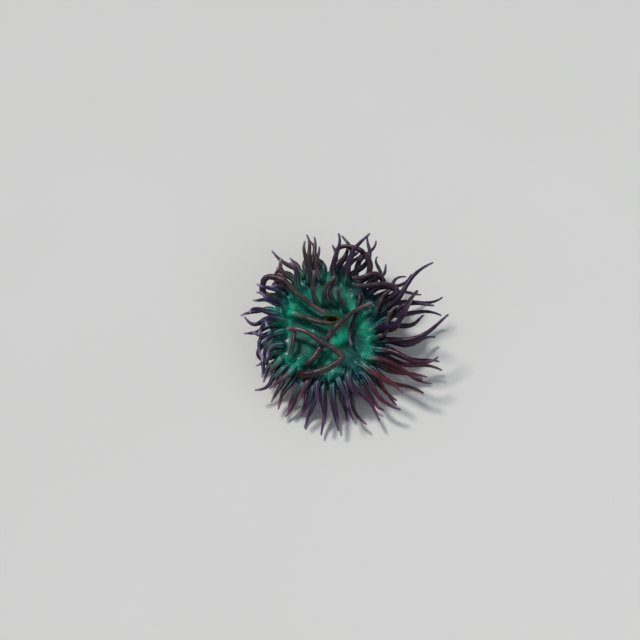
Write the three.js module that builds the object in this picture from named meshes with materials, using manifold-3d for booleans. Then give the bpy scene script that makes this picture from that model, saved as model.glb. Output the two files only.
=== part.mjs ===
// A long-tentacled sea anemone, life size, standing on its foot with its crown of tentacles open.
// The foot, the column and the oral disc are turned profiles that one function, place(), bends into the
// living shape: a lobed outline, a wavy margin, a disc that tips towards -Y and a mouth drawn out along X.
// Each tentacle is a chain of points that grows from the disc and is then pushed clear of its neighbours.
// Millimetres, +Z up, the foot's flat underside on Z = 0 with its centre at the origin.

import * as THREE from "three";
import { mergeVertices } from "three/addons/utils/BufferGeometryUtils.js";
import Module from "manifold-3d";

const wasm = await Module();
wasm.setup();

// ---------------------------------------------------------------- driving dimensions

const FOOT_RADIUS = 50;
const FOOT_HEIGHT = 6;
const WAIST_RADIUS = 40;
const WAIST_HEIGHT = 20;
const DISC_UNDERSIDE = 32; // where the column meets the plate of the oral disc
const MARGIN_RADIUS = 76;
const MARGIN_HEIGHT = 42;
const INNER_DISC_RADIUS = 54; // the bare oral disc inside the crown
const LIP_RADIUS = 9;
const LIP_HEIGHT = 55;
const THROAT_FLOOR = 44;
const GAP = 0.3; // between neighbouring pieces
const CUT_SLIVER = 0.12; // corners nearer than this to a flat face are dropped where solids are joined

const DISC_TILT = Math.tan(THREE.MathUtils.degToRad(9)); // the disc falls towards -Y
const DISC_SHIFT = { x: 2, y: -4 }; // how far the disc's centre stands from the foot's
const MOUTH_SHIFT = { x: 5, y: 8 }; // how far the mouth stands from the disc's centre
const MOUTH_STRETCH = 0.4;
const MOUTH_PINCH = 0.3;

const CHAIN = 24; // steps along a tentacle
const CLEARANCE = 1.5; // between the skins of two tentacles
const FLOOR_CLEARANCE = 1.2;
const SETTLING_ROUNDS = 90;
const ROOT_DEPTH = 4.5; // how far a tentacle's root reaches into the disc

const SECTORS = 12;
const SECTOR_ANGLE = (2 * Math.PI) / SECTORS;

// The rows of the crown from the inside out. pitch holds the degrees above the horizontal at the root, the
// middle and the tip where the crown stands; hang and hangRadius are those of the side where it hangs.
const ROWS = [
  { perSector: 2, radius: 59.6, hangRadius: 62, length: 64, base: 4.6, tip: 1.3, steps: 4,
    pitch: [58, 38, 22], hang: [14, -14, -34] },
  { perSector: 3, radius: 66.8, hangRadius: 68, length: 66, base: 4.3, tip: 1.2, steps: 4,
    pitch: [34, 12, 2], hang: [-8, -34, -22] },
  { perSector: 4, radius: 73, hangRadius: 73.5, length: 62, base: 4.0, tip: 1.1, steps: 3,
    pitch: [4, -20, -20], hang: [-30, -42, -6] },
];
const ROW_FULLNESS = 1.35;
const ROW_SIDES = 5;

// The long tentacles that stand over the disc. root is the azimuth in degrees and the radius on the disc.
// Each turn is a share of the length, the heading from +X towards +Y and the pitch, both in degrees.
const LONG_TENTACLES = [
  { name: "hook", root: [240, 65], length: 148, base: 4.9, tip: 2.6, steps: 12,
    turns: [[0, -75, 47], [0.14, 2, 27], [0.3, 23, 17], [0.42, 41, 10],
      [0.5, 140, 8], [0.56, 152, -1], [0.75, 143, -1], [1, 172, -17]] },
  { name: "crossing", root: [236, 55], length: 125, base: 4.8, tip: 2.4, steps: 6,
    turns: [[0, -31, 56], [0.2, 58, 5], [0.45, 48, 30], [0.7, 45, -12], [1, 18, 12]] },
  { name: "sweeping", root: [152, 66], length: 141, base: 4.9, tip: 2.6, steps: 9,
    turns: [[0, 160, 20], [0.15, 158, 12], [0.28, 73, 39],
      [0.42, -20, 4], [0.6, -47, -10], [0.8, -33, -14], [1, -23, -18]] },
  { name: "level", root: [162, 53], length: 57, base: 4.9, tip: 2.7, steps: 4,
    turns: [[0, -21, 40], [0.3, -23, -3], [0.65, -24, 15], [1, -5, 5]] },
  { name: "upright", root: [118, 26], length: 52, base: 4.0, tip: 1.9, steps: 4,
    turns: [[0, 183, 77], [0.35, 115, 52], [0.7, 80, 35], [1, 92, 32]] },
  { name: "leaning", root: [94, 25], length: 47, base: 4.2, tip: 2.0, steps: 4,
    turns: [[0, 173, 67], [0.35, 99, 65], [0.7, 46, 29], [1, 47, 21]] },
  { name: "twin", root: [71, 26], length: 42, base: 4.0, tip: 2.0, steps: 4,
    turns: [[0, 162, 57], [0.35, 125, 57], [0.7, 58, 31], [1, 47, 21]] },
  { name: "inner", root: [43, 30], length: 34, base: 3.8, tip: 1.8, steps: 4,
    turns: [[0, 165, 66], [0.4, 122, 50], [1, 92, 20]] },
  { name: "spike", root: [30, 49], length: 25, base: 2.9, tip: 1.2, steps: 4,
    turns: [[0, 40, 70], [0.5, 98, 48], [1, 104, 22]] },
  { name: "raised", root: [222, 62], length: 40, base: 4.1, tip: 1.9, steps: 4,
    turns: [[0, 67, 64], [0.4, 77, 33], [1, 93, 5]] },
  { name: "slender", root: [49, 56], length: 79, base: 3.4, tip: 1.7, steps: 6,
    turns: [[0, -24, 66], [0.25, -101, -21], [0.5, -117, -7], [0.75, -106, -9], [1, -69, -1]] },
  { name: "upper", root: [40, 66], length: 79, base: 5.0, tip: 3.0, steps: 6,
    turns: [[0, 36, 22], [0.15, 46, 20], [0.3, 7, 24], [0.5, 163, 39], [0.75, 200, -16], [1, 187, 23]] },
  { name: "side", root: [24, 66], length: 92, base: 5.2, tip: 3.2, steps: 6,
    turns: [[0, 20, 17], [0.15, 22, 18], [0.3, -5, 44], [0.45, 143, 4], [0.7, 181, -10], [1, 185, 23]] },
  { name: "tall", root: [358, 67], length: 73, base: 4.4, tip: 2.0, steps: 6,
    turns: [[0, -17, 0], [0.15, 0, 24], [0.4, 62, 51], [0.7, 55, 31], [1, 42, 21]] },
  { name: "arched", root: [343, 59], length: 57, base: 4.4, tip: 2.0, steps: 4,
    turns: [[0, 20, 38], [0.25, 35, 29], [0.5, 76, 22], [0.75, 59, 25], [1, 33, 26]] },
  { name: "bowed", root: [10, 59], length: 44, base: 4.2, tip: 2.0, steps: 4,
    turns: [[0, 53, 45], [0.3, 65, 19], [0.65, 64, 15], [1, 26, 39]] },
  { name: "turning", root: [59, 66], length: 95, base: 5.0, tip: 2.7, steps: 6,
    turns: [[0, 25, 22], [0.15, 22, 26], [0.3, 79, 41], [0.5, 127, 13], [0.75, 159, -8], [1, 200, -30]] },
];
const LONG_FULLNESS = 0.85;
const LONG_SIDES = 5;
const SHORT_TENTACLE = 60; // up to this length a long tentacle is cut in two, and past it in three
const ROOT_SPACING = 7.4; // a row tentacle closer than this to a long one's root is left out

// ---------------------------------------------------------------- small helpers

const rad = THREE.MathUtils.degToRad;
const smooth = (x, low, high) => THREE.MathUtils.smoothstep(x, low, high);
const mix = THREE.MathUtils.lerp;

// A repeatable number from 0 to 1 for a tentacle and a purpose.
function chance(index, purpose) {
  const x = Math.sin(index * 12.9898 + purpose * 78.233) * 43758.5453;
  return x - Math.floor(x);
}
const spread = (index, purpose, reach) => (2 * chance(index, purpose) - 1) * reach;

// ---------------------------------------------------------------- the living shape of the body

const discLobes = (a) => 0.035 * Math.sin(2 * a - 1.4) + 0.022 * Math.sin(3 * a + 2.1) + 0.012 * Math.sin(7 * a);
const footLobes = (a) => 0.05 * Math.sin(3 * a + 0.7) + 0.03 * Math.sin(5 * a + 1.9);
const marginWave = (a) => 3.6 * Math.sin(3 * a + 0.4) + 1.8 * Math.sin(5 * a + 1.3);

// How much of the disc's own movement a height takes part in: none at the foot, all of it at the disc.
const rise = (z) => smooth(z, FOOT_HEIGHT, DISC_UNDERSIDE + 6);

// Bends a point of the turned profiles, given as radius, azimuth and height, into the living shape.
function place(r, a, z) {
  const up = rise(z);
  const lobed = r * (1 + up * discLobes(a) + (1 - up) * footLobes(a));
  const oval = up * (1 - smooth(r, 6, 26));
  const drawn = up * (1 - smooth(r, 8, 36));
  const x = lobed * Math.cos(a) * (1 + MOUTH_STRETCH * oval) + MOUTH_SHIFT.x * drawn;
  const y = lobed * Math.sin(a) * (1 - MOUTH_PINCH * oval) + MOUTH_SHIFT.y * drawn;
  const wave = up * (r / MARGIN_RADIUS) ** 2 * marginWave(a);
  return new THREE.Vector3(x + up * DISC_SHIFT.x, y + up * DISC_SHIFT.y, z + wave + up * DISC_TILT * y);
}

// The profiles, as radius and height, from the mouth out and from the foot up.
const DISC_TOP = [
  [LIP_RADIUS + GAP, 52.5], [14, 50.6], [24, 49.2], [40, 50], [INNER_DISC_RADIUS, 50.4],
  [63, 49.2], [70.5, 46.6], [MARGIN_RADIUS, MARGIN_HEIGHT],
];
const FLARE = [[INNER_DISC_RADIUS, DISC_UNDERSIDE], [66, 35.5], [MARGIN_RADIUS, MARGIN_HEIGHT]];
const COLUMN = [[47, FOOT_HEIGHT], [42.5, 11], [WAIST_RADIUS, WAIST_HEIGHT], [43.5, 27], [INNER_DISC_RADIUS, DISC_UNDERSIDE]];

// The value of a profile at x, read between its points.
function along(profile, x, from = 0, to = 1) {
  const next = Math.max(1, profile.findIndex((p) => p[from] >= x));
  const [a, b] = [profile[next - 1], profile[next]];
  const share = THREE.MathUtils.clamp((x - a[from]) / (b[from] - a[from]), 0, 1);
  return mix(a[to], b[to], share);
}

// Where a point in space lies on the body: its radius and azimuth about the disc's own centre, and the
// heights there of the disc's upper and lower skins.
function bodyAt(x, y) {
  const [dx, dy] = [x - DISC_SHIFT.x, y - DISC_SHIFT.y];
  const azimuth = Math.atan2(dy, dx);
  const radius = Math.hypot(dx, dy) / (1 + discLobes(azimuth));
  const r = Math.min(radius, MARGIN_RADIUS);
  const lift = (r / MARGIN_RADIUS) ** 2 * marginWave(azimuth) + DISC_TILT * dy;
  return {
    radius,
    azimuth,
    top: along(DISC_TOP, Math.max(r, DISC_TOP[0][0])) + lift,
    under: along(FLARE, Math.max(r, INNER_DISC_RADIUS)) + lift,
  };
}

// ---------------------------------------------------------------- the tentacles' centre lines

const unit = (heading, pitch) =>
  new THREE.Vector3(
    Math.cos(pitch) * Math.cos(heading),
    Math.cos(pitch) * Math.sin(heading),
    Math.sin(pitch),
  );

// The heading and pitch at a share of the length, eased between the turns.
function eased(turns, share) {
  const next = Math.max(1, turns.findIndex((t) => t[0] >= share));
  const [a, b] = [turns[next - 1], turns[next]];
  const s = smooth(share, a[0], b[0]);
  return unit(rad(mix(a[1], b[1], s)), rad(mix(a[2], b[2], s)));
}

// A chain of points from the root, following a direction given at each share of the length.
function grow(azimuth, radius, length, direction) {
  const root = place(radius, azimuth, along(DISC_TOP, radius));
  const points = [root];
  for (let i = 0; i < CHAIN; i++) {
    points.push(points[i].clone().addScaledVector(direction((i + 0.5) / CHAIN), length / CHAIN));
  }
  return points;
}

// The tentacle's radius at a share of its length: a spreading foot, a taper that comes later the fuller the
// tentacle is, and a rounded tip.
function girth(t, share) {
  const foot = 1 + 0.2 * Math.exp((-share * t.length) / 4);
  const taper = mix(t.base, t.tip, share ** t.fullness);
  return taper * foot * Math.sqrt(Math.max(0, 1 - smooth(share, 0.97, 1.03) ** 2));
}

function longTentacles() {
  return LONG_TENTACLES.map((t) => ({
    ...t,
    fullness: LONG_FULLNESS,
    sides: LONG_SIDES,
    points: grow(rad(t.root[0]), t.root[1], t.length, (share) => eased(t.turns, share)),
  }));
}

// How the crown differs around the disc: it hangs towards -Y, it trails round from -X to -Y and from -Y to +X,
// its tips curl on the -X side, and it is longest towards +X, where it has room.
const hanging = (a) => smooth(Math.cos(a - rad(258)), 0, 0.85);
const trailing = (a) =>
  rad(26 * smooth(Math.cos(a - rad(328)), 0.5, 1) + 55 * smooth(Math.cos(a - rad(190)), 0.75, 1));
const curling = (a) => smooth(Math.cos(a - rad(165)), 0.1, 0.9);
const room = (a) => (1 + 0.3 * Math.cos(a + rad(12))) * (1 - 0.2 * hanging(a));

// The direction along a tentacle of a row, with a bend and a sway of its own.
function rowDirection(row, index, azimuth) {
  const hang = hanging(azimuth);
  const curl = curling(azimuth) * chance(index, 8);
  const swirl = trailing(azimuth) + rad(spread(index, 4, 24)) * (1 - 0.5 * hang);
  const curlTurn = rad(90) * curl * Math.sign(chance(index, 9) - 0.5);
  const sway = rad(18 + 22 * chance(index, 5)) * (1 - 0.55 * hang);
  const swayPhase = 2 * Math.PI * chance(index, 6);
  const lift = spread(index, 7, 13);
  const [root, middle, tip] = row.pitch.map((p, i) => rad(mix(p, row.hang[i], hang) + lift));
  const curledTip = tip + rad(45) * curl;
  return (share) => {
    const wander = sway * Math.sin(swayPhase + 5 * share) * smooth(share, 0, 0.3);
    const heading = azimuth + swirl * share + wander + curlTurn * smooth(share, 0.35, 1);
    const pitch = share < 0.5 ? mix(root, middle, share * 2) : mix(middle, curledTip, share * 2 - 1);
    return unit(heading, pitch);
  };
}

function rowTentacles(roots) {
  const made = [];
  let index = 0;
  ROWS.forEach((row) => {
    const count = row.perSector * SECTORS;
    for (let k = 0; k < count; k++) {
      index += 1;
      const azimuth = ((k + 0.5) / count) * 2 * Math.PI + rad(spread(index, 1, 0.9));
      const radius = mix(row.radius, row.hangRadius, hanging(azimuth)) + spread(index, 2, 1);
      const root = place(radius, azimuth, along(DISC_TOP, radius));
      if (roots.some((r) => r.distanceTo(root) < ROOT_SPACING)) continue;
      const length = row.length * room(azimuth) * (1 + spread(index, 3, 0.16));
      made.push({
        sector: Math.floor(k / row.perSector),
        length,
        base: row.base,
        tip: row.tip,
        fullness: ROW_FULLNESS,
        sides: ROW_SIDES,
        steps: row.steps,
        slim: true,
        points: grow(azimuth, radius, length, rowDirection(row, index, azimuth)),
      });
    }
  });
  return made;
}

// ---------------------------------------------------------------- settling the tentacles

// Pushes the chains clear of each other, of the body and of the floor, keeping their lengths and bends.
function settle(tentacles) {
  const girths = tentacles.map((t) => t.points.map((_, i) => girth(t, i / CHAIN)));
  const bends = tentacles.map((t) => t.points.map((p, i) =>
    i > 0 && i < CHAIN ? p.clone().sub(t.points[i - 1].clone().add(t.points[i + 1]).multiplyScalar(0.5)) : null));
  const NEAR = 16;
  let pairs = [];
  for (let round = 0; round < SETTLING_ROUNDS; round++) {
    if (round % 10 === 0) pairs = nearPairs(tentacles, NEAR);
    const push = tentacles.map((t) => t.points.map(() => new THREE.Vector3()));
    const hits = tentacles.map((t) => t.points.map(() => 0));
    for (const [a, i, b, j] of pairs) {
      const away = tentacles[a].points[i].clone().sub(tentacles[b].points[j]);
      const distance = Math.max(away.length(), 1e-6);
      const short = girths[a][i] + girths[b][j] + CLEARANCE - distance;
      if (short <= 0) continue;
      away.multiplyScalar((0.5 * short) / distance);
      push[a][i].add(away);
      push[b][j].sub(away);
      hits[a][i] += 1;
      hits[b][j] += 1;
    }
    tentacles.forEach((t, a) => {
      for (let i = 2; i <= CHAIN; i++) {
        const p = t.points[i];
        p.addScaledVector(push[a][i], 1.4 / Math.max(1, hits[a][i]));
        keepOffBody(p, girths[a][i], i / CHAIN);
      }
      for (let i = 2; i < CHAIN; i++) {
        const rest = t.points[i - 1].clone().add(t.points[i + 1]).multiplyScalar(0.5).add(bends[a][i]);
        t.points[i].lerp(rest, 0.25);
      }
      for (let i = 2; i <= CHAIN; i++) {
        const step = t.points[i].clone().sub(t.points[i - 1]).setLength(t.length / CHAIN);
        t.points[i].copy(t.points[i - 1]).add(step);
      }
    });
  }
}

// Every two points of different tentacles that lie within a distance of each other.
function nearPairs(tentacles, reach) {
  const found = [];
  for (let a = 0; a < tentacles.length; a++) {
    for (let b = a + 1; b < tentacles.length; b++) {
      for (let i = 1; i <= CHAIN; i++) {
        for (let j = 1; j <= CHAIN; j++) {
          if (tentacles[a].points[i].distanceTo(tentacles[b].points[j]) < reach) found.push([a, i, b, j]);
        }
      }
    }
  }
  return found;
}

// Moves a chain's point out of the body and off the floor.
function keepOffBody(p, girth, share) {
  const free = girth + CLEARANCE * smooth(share, 0.05, 0.2);
  const body = bodyAt(p.x, p.y);
  if (body.radius < MARGIN_RADIUS && p.z > (body.top + body.under) / 2) {
    p.z = Math.max(p.z, body.top + free * smooth(share, 0, 0.12));
  } else if (body.radius < MARGIN_RADIUS + free && p.z > body.under - free) {
    const outward = MARGIN_RADIUS + free - body.radius;
    const low = p.z < MARGIN_HEIGHT ? 1 : 0;
    p.x += low * outward * Math.cos(body.azimuth);
    p.y += low * outward * Math.sin(body.azimuth);
  }
  p.z = Math.max(p.z, girth + FLOOR_CLEARANCE);
}

// ---------------------------------------------------------------- solids

const toSolid = (geometry) => {
  const bare = geometry.index ? geometry.toNonIndexed() : geometry;
  const clean = new THREE.BufferGeometry().setAttribute("position", bare.getAttribute("position"));
  const merged = mergeVertices(clean, 1e-4);
  return new wasm.Manifold(new wasm.Mesh({
    numProp: 3,
    vertProperties: merged.attributes.position.array,
    triVerts: new Uint32Array(merged.index.array),
  }));
};

function toGeometry(solid) {
  const mesh = solid.getMesh();
  return new THREE.BufferGeometry()
    .setAttribute("position", new THREE.BufferAttribute(new Float32Array(mesh.vertProperties), 3))
    .setIndex(new THREE.BufferAttribute(new Uint32Array(mesh.triVerts), 1));
}

// A closed profile turned about the axis and bent into the living shape.
function turned(profile, segments) {
  const points = profile.map(([r, z]) => new THREE.Vector2(r, z));
  const geometry = new THREE.LatheGeometry(points, segments).rotateX(Math.PI / 2);
  const position = geometry.getAttribute("position");
  for (let i = 0; i < position.count; i++) {
    const [x, y, z] = [position.getX(i), position.getY(i), position.getZ(i)];
    const r = Math.hypot(x, y);
    const p = place(r, r < 1e-6 ? 0 : Math.atan2(y, x), z);
    position.setXYZ(i, p.x, p.y, p.z);
  }
  return toSolid(geometry);
}

// The rings of a tentacle, the first buried at its root and one at each later step: each a centre, the
// direction there and the points around it. extra makes the tentacle fatter.
function rings(t, extra = 0) {
  const made = [];
  let across = new THREE.Vector3(0, 0, 1);
  for (let step = 0; step <= t.steps; step++) {
    const i = Math.round((step / t.steps) * CHAIN);
    const ahead = t.points[Math.min(i + 2, CHAIN)].clone().sub(t.points[Math.max(i - 2, 0)]).normalize();
    if (step === 0) across.cross(ahead);
    across.addScaledVector(ahead, -across.dot(ahead)).normalize();
    const radius = (step === t.steps ? 0.75 * t.tip : girth(t, i / CHAIN)) + extra;
    const other = ahead.clone().cross(across);
    const around = [];
    for (let k = 0; k < t.sides; k++) {
      const angle = (k / t.sides) * 2 * Math.PI;
      around.push(across.clone().multiplyScalar(radius * Math.cos(angle))
        .addScaledVector(other, radius * Math.sin(angle)));
    }
    const depth = step === 0 ? ROOT_DEPTH : 0;
    made.push({ centre: t.points[i].clone().addScaledVector(ahead, -depth), ahead, around });
  }
  return made;
}

// The solid of a tentacle between two of its steps, with half the gap left at each cut end. The true tip has
// a point on it, and a slim tentacle runs straight to that point from the ring before the last.
function tentaclePiece(t, from, to, extra = 0) {
  const some = rings(t, extra).slice(from, to + 1);
  if (from > 0) some[0].centre.addScaledVector(some[0].ahead, GAP / 2);
  const last = some[some.length - 1];
  if (to < t.steps) last.centre.addScaledVector(last.ahead, -GAP / 2);
  const end = last.centre.clone().addScaledVector(last.ahead, to < t.steps ? 0 : 0.6 * t.tip + extra);
  if (t.slim && to === t.steps) some.pop();
  const vertices = some.flatMap((ring) => ring.around.map((offset) => ring.centre.clone().add(offset)));
  const [foot, head, top] = [vertices.length, vertices.length + 1, (some.length - 1) * t.sides];
  vertices.push(some[0].centre, end);
  const faces = [];
  for (let a = 0; a < top; a++) {
    const b = (a + 1) % t.sides === 0 ? a + 1 - t.sides : a + 1;
    faces.push(a, b, b + t.sides, a, b + t.sides, a + t.sides);
  }
  for (let k = 0; k < t.sides; k++) {
    const next = (k + 1) % t.sides;
    faces.push(foot, next, k, head, top + k, top + next);
  }
  return toSolid(new THREE.BufferGeometry().setFromPoints(vertices).setIndex(faces));
}

// The largest body of a solid, without the crumbs that a cut leaves or the pockets that a join closes.
const mainBody = (solid) => solid.simplify(CUT_SLIVER).decompose()
  .reduce((best, body) => (body.volume() > best.volume() ? body : best));

// ---------------------------------------------------------------- materials

const matte = (color, roughness) => new THREE.MeshStandardMaterial({ color, roughness, metalness: 0 });
const FOOT_SKIN = matte(0xa4674a, 0.55);
const COLUMN_SKIN = matte(0x6b4a52, 0.5);
const DISC_SKIN = matte(0x0f7a55, 0.4);
const LIP_SKIN = matte(0x6f8f3c, 0.4);
const TENTACLE_SKIN = matte(0x4d3440, 0.4);

// ---------------------------------------------------------------- the pieces

const anemone = new THREE.Group();
function add(name, solid, material) {
  const mesh = new THREE.Mesh(toGeometry(solid), material);
  mesh.name = name;
  anemone.add(mesh);
}

const BODY_SEGMENTS = 24;
const LIP_SEGMENTS = 18;

add("pedal_disc", turned([
  [0, 0], [FOOT_RADIUS - 1.5, 0], [FOOT_RADIUS, 2], [45.5, FOOT_HEIGHT - GAP], [0, FOOT_HEIGHT - GAP],
], BODY_SEGMENTS), FOOT_SKIN);

add("column_lower", turned([
  [0, FOOT_HEIGHT], ...COLUMN.slice(0, 2), [WAIST_RADIUS, WAIST_HEIGHT - GAP], [0, WAIST_HEIGHT - GAP],
], BODY_SEGMENTS), COLUMN_SKIN);

add("column_upper", turned([
  [0, WAIST_HEIGHT], ...COLUMN.slice(2, 4), [INNER_DISC_RADIUS - 0.4, DISC_UNDERSIDE - GAP], [0, DISC_UNDERSIDE - GAP],
], BODY_SEGMENTS), COLUMN_SKIN);

add("oral_disc", turned([
  [0, DISC_UNDERSIDE],
  [INNER_DISC_RADIUS - GAP / 2, DISC_UNDERSIDE],
  [INNER_DISC_RADIUS - GAP / 2, 50.4],
  ...DISC_TOP.slice(0, 4).reverse(),
  [LIP_RADIUS + GAP, THROAT_FLOOR],
  [0, THROAT_FLOOR],
], BODY_SEGMENTS), DISC_SKIN);

add("mouth_lips", turned([
  [4, THROAT_FLOOR + GAP], [LIP_RADIUS, THROAT_FLOOR + GAP], [LIP_RADIUS, 52.6], [7.8, LIP_HEIGHT - 0.6],
  [6.2, LIP_HEIGHT], [4.6, LIP_HEIGHT - 1.4], [4, THROAT_FLOOR + GAP],
], LIP_SEGMENTS), LIP_SKIN);

const RING_RADIUS = INNER_DISC_RADIUS + GAP / 2;
const crownRing = turned([
  [RING_RADIUS, DISC_UNDERSIDE],
  ...FLARE.slice(1),
  ...DISC_TOP.slice(5, 7).reverse(),
  [RING_RADIUS, 50.3],
  [RING_RADIUS, DISC_UNDERSIDE],
], BODY_SEGMENTS);

// The disc and the crown's ring, with all that lies close under them, raised by the gap.
const discPlate = turned([
  [0, DISC_UNDERSIDE], [MARGIN_RADIUS, DISC_UNDERSIDE], ...DISC_TOP.slice().reverse(), [0, 52.5],
], BODY_SEGMENTS).translate([0, 0, GAP]);

// The space that the ring of the crown and its tentacles may fill, with its inner wall a little inside the
// ring's, so that no two walls coincide.
const SPACE_RADIUS = RING_RADIUS - GAP / 6;
const crownSpace = turned([
  [SPACE_RADIUS, DISC_UNDERSIDE - 1], [1.5 * MARGIN_RADIUS, DISC_UNDERSIDE - 1],
  [1.5 * MARGIN_RADIUS, 2 * MARGIN_HEIGHT], [SPACE_RADIUS, 2 * MARGIN_HEIGHT],
  [SPACE_RADIUS, 50.3], [SPACE_RADIUS, DISC_UNDERSIDE - 1],
], BODY_SEGMENTS);

// The slice of space between two azimuths of the disc, drawn in by a distance on each side.
function slice(number, inset) {
  const [low, high] = [number * SECTOR_ANGLE, (number + 1) * SECTOR_ANGLE];
  const middle = (low + high) / 2;
  const reach = 2 * MARGIN_RADIUS;
  const shift = inset / Math.sin(SECTOR_ANGLE / 2);
  const corner = new THREE.Vector2(shift * Math.cos(middle), shift * Math.sin(middle));
  const outline = new THREE.Shape([
    corner,
    new THREE.Vector2(reach * Math.cos(low), reach * Math.sin(low)).add(corner),
    new THREE.Vector2(reach * Math.cos(high), reach * Math.sin(high)).add(corner),
  ]);
  const prism = new THREE.ExtrudeGeometry(outline, { depth: 2 * MARGIN_HEIGHT, bevelEnabled: false });
  prism.translate(DISC_SHIFT.x, DISC_SHIFT.y, 0);
  return toSolid(prism);
}

const long = longTentacles();
const rows = rowTentacles(long.map((t) => t.points[0]));
settle([...long, ...rows]);

// The long tentacles, each cut into two or three lengths.
for (const t of long) {
  const names = t.length < SHORT_TENTACLE ? ["base", "tip"] : ["base", "middle", "tip"];
  names.forEach((length, k) => {
    const piece = tentaclePiece(t, (k * t.steps) / names.length, ((k + 1) * t.steps) / names.length);
    add(`tentacle_${t.name}_${length}`, k === 0 ? mainBody(piece.subtract(discPlate)) : piece, TENTACLE_SKIN);
  });
}

// The sectors of the crown: a slice of its ring with the row tentacles that grow from it. Roots that reach
// under a neighbour or touch a tentacle made before are trimmed there.
const whole = (t) => ({ solid: tentaclePiece(t, 0, t.steps), fatter: tentaclePiece(t, 0, t.steps, GAP) });
const trim = (solid, other) => (solid.intersect(other.solid).isEmpty() ? solid : solid.subtract(other.fatter));
const neighbours = long.map(whole);
for (let s = 0; s < SECTORS; s++) {
  const own = rows.filter((t) => t.sector === s);
  const plateAround = discPlate.subtract(slice(s, 0).intersect(crownSpace));
  const tentacles = own.map(whole);
  const grown = tentacles.map((t) => neighbours.reduce(trim, t.solid.subtract(plateAround)));
  const wedge = slice(s, GAP / 2).intersect(crownRing);
  const sector = mainBody(grown.reduce((solid, t) => solid.add(t), wedge));
  add(`crown_sector_${String(s + 1).padStart(2, "0")}`, sector, TENTACLE_SKIN);
  neighbours.push(...tentacles);
}

export default anemone;
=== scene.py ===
"""The looks of a life-size, long-tentacled sea anemone.

One skin stands for every solid of the part. It is the same living shape with the same tentacles, worked
out here from the same dimensions, in finer steps: a turned body with its folds, lips and warts, and a
smooth tube for each tentacle, joined and softened where they meet. Lengths are in millimetres until the
skin's mesh is made, and then in metres.
"""

import math
from types import SimpleNamespace

import bmesh
import bpy
import numpy as np
from mathutils import Matrix, Vector, kdtree


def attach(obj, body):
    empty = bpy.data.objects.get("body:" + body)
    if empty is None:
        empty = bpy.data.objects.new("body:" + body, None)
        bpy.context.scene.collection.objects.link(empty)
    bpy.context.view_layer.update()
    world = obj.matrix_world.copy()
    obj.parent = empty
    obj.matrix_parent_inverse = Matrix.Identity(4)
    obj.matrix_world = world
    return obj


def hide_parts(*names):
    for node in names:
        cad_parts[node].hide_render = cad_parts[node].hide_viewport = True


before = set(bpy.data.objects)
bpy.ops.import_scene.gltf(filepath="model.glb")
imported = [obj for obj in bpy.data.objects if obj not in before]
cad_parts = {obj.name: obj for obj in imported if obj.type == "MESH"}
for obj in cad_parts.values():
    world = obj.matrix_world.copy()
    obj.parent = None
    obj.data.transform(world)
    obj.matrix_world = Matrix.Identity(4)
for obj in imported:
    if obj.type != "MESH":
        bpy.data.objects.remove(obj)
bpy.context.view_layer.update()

MM = 0.001
TURN = 2 * math.pi

# ---------- driving dimensions, as in the part

FOOT_RADIUS = 50.0
FOOT_HEIGHT = 6.0
WAIST_RADIUS = 40.0
WAIST_HEIGHT = 20.0
DISC_UNDERSIDE = 32.0
MARGIN_RADIUS = 76.0
MARGIN_HEIGHT = 42.0
INNER_DISC_RADIUS = 54.0
LIP_RADIUS = 9.0
LIP_HEIGHT = 55.0
THROAT_FLOOR = 44.0
GAP = 0.3

DISC_TILT = math.tan(math.radians(9))
DISC_SHIFT = np.array([2.0, -4.0])
MOUTH_SHIFT = np.array([5.0, 8.0])
MOUTH_STRETCH = 0.4
MOUTH_PINCH = 0.3
OVAL_FADE = (6, 26)  # the radii over which the mouth's oval gives way to the round disc
DRAWN_FADE = (8, 36)

CHAIN = 24  # steps in a tentacle's centre line
CLEARANCE = 1.5
FLOOR_CLEARANCE = 1.2
SETTLING_ROUNDS = 90
ROOT_DEPTH = 4.5  # of a tentacle inside the disc
ROOT_SPREAD = 0.2  # by which a tentacle widens at its root, as a share of its radius
ROOT_SPREAD_LENGTH = 4.0
SECTORS = 12

# Sides of the crown, as azimuths in degrees.
HANGING_SIDE = 258
CURLING_SIDE = 165
LONG_SIDE = -12
SWEPT_SIDES = [(328, 0.5, 26), (190, 0.75, 55)]  # with the cosine where it begins and the tentacles' turn

# The rows of the crown: tentacles per sector, root radius standing and hanging, length, radii at the base
# and tip, and the pitches in degrees at root, middle and tip, standing and hanging.
ROWS = [
    dict(per_sector=2, radius=59.6, hang_radius=62.0, length=64, base=4.6, tip=1.3,
         pitch=(58, 38, 22), hang=(14, -14, -34)),
    dict(per_sector=3, radius=66.8, hang_radius=68.0, length=66, base=4.3, tip=1.2,
         pitch=(34, 12, 2), hang=(-8, -34, -22)),
    dict(per_sector=4, radius=73.0, hang_radius=73.5, length=62, base=4.0, tip=1.1,
         pitch=(4, -20, -20), hang=(-30, -42, -6)),
]

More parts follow.
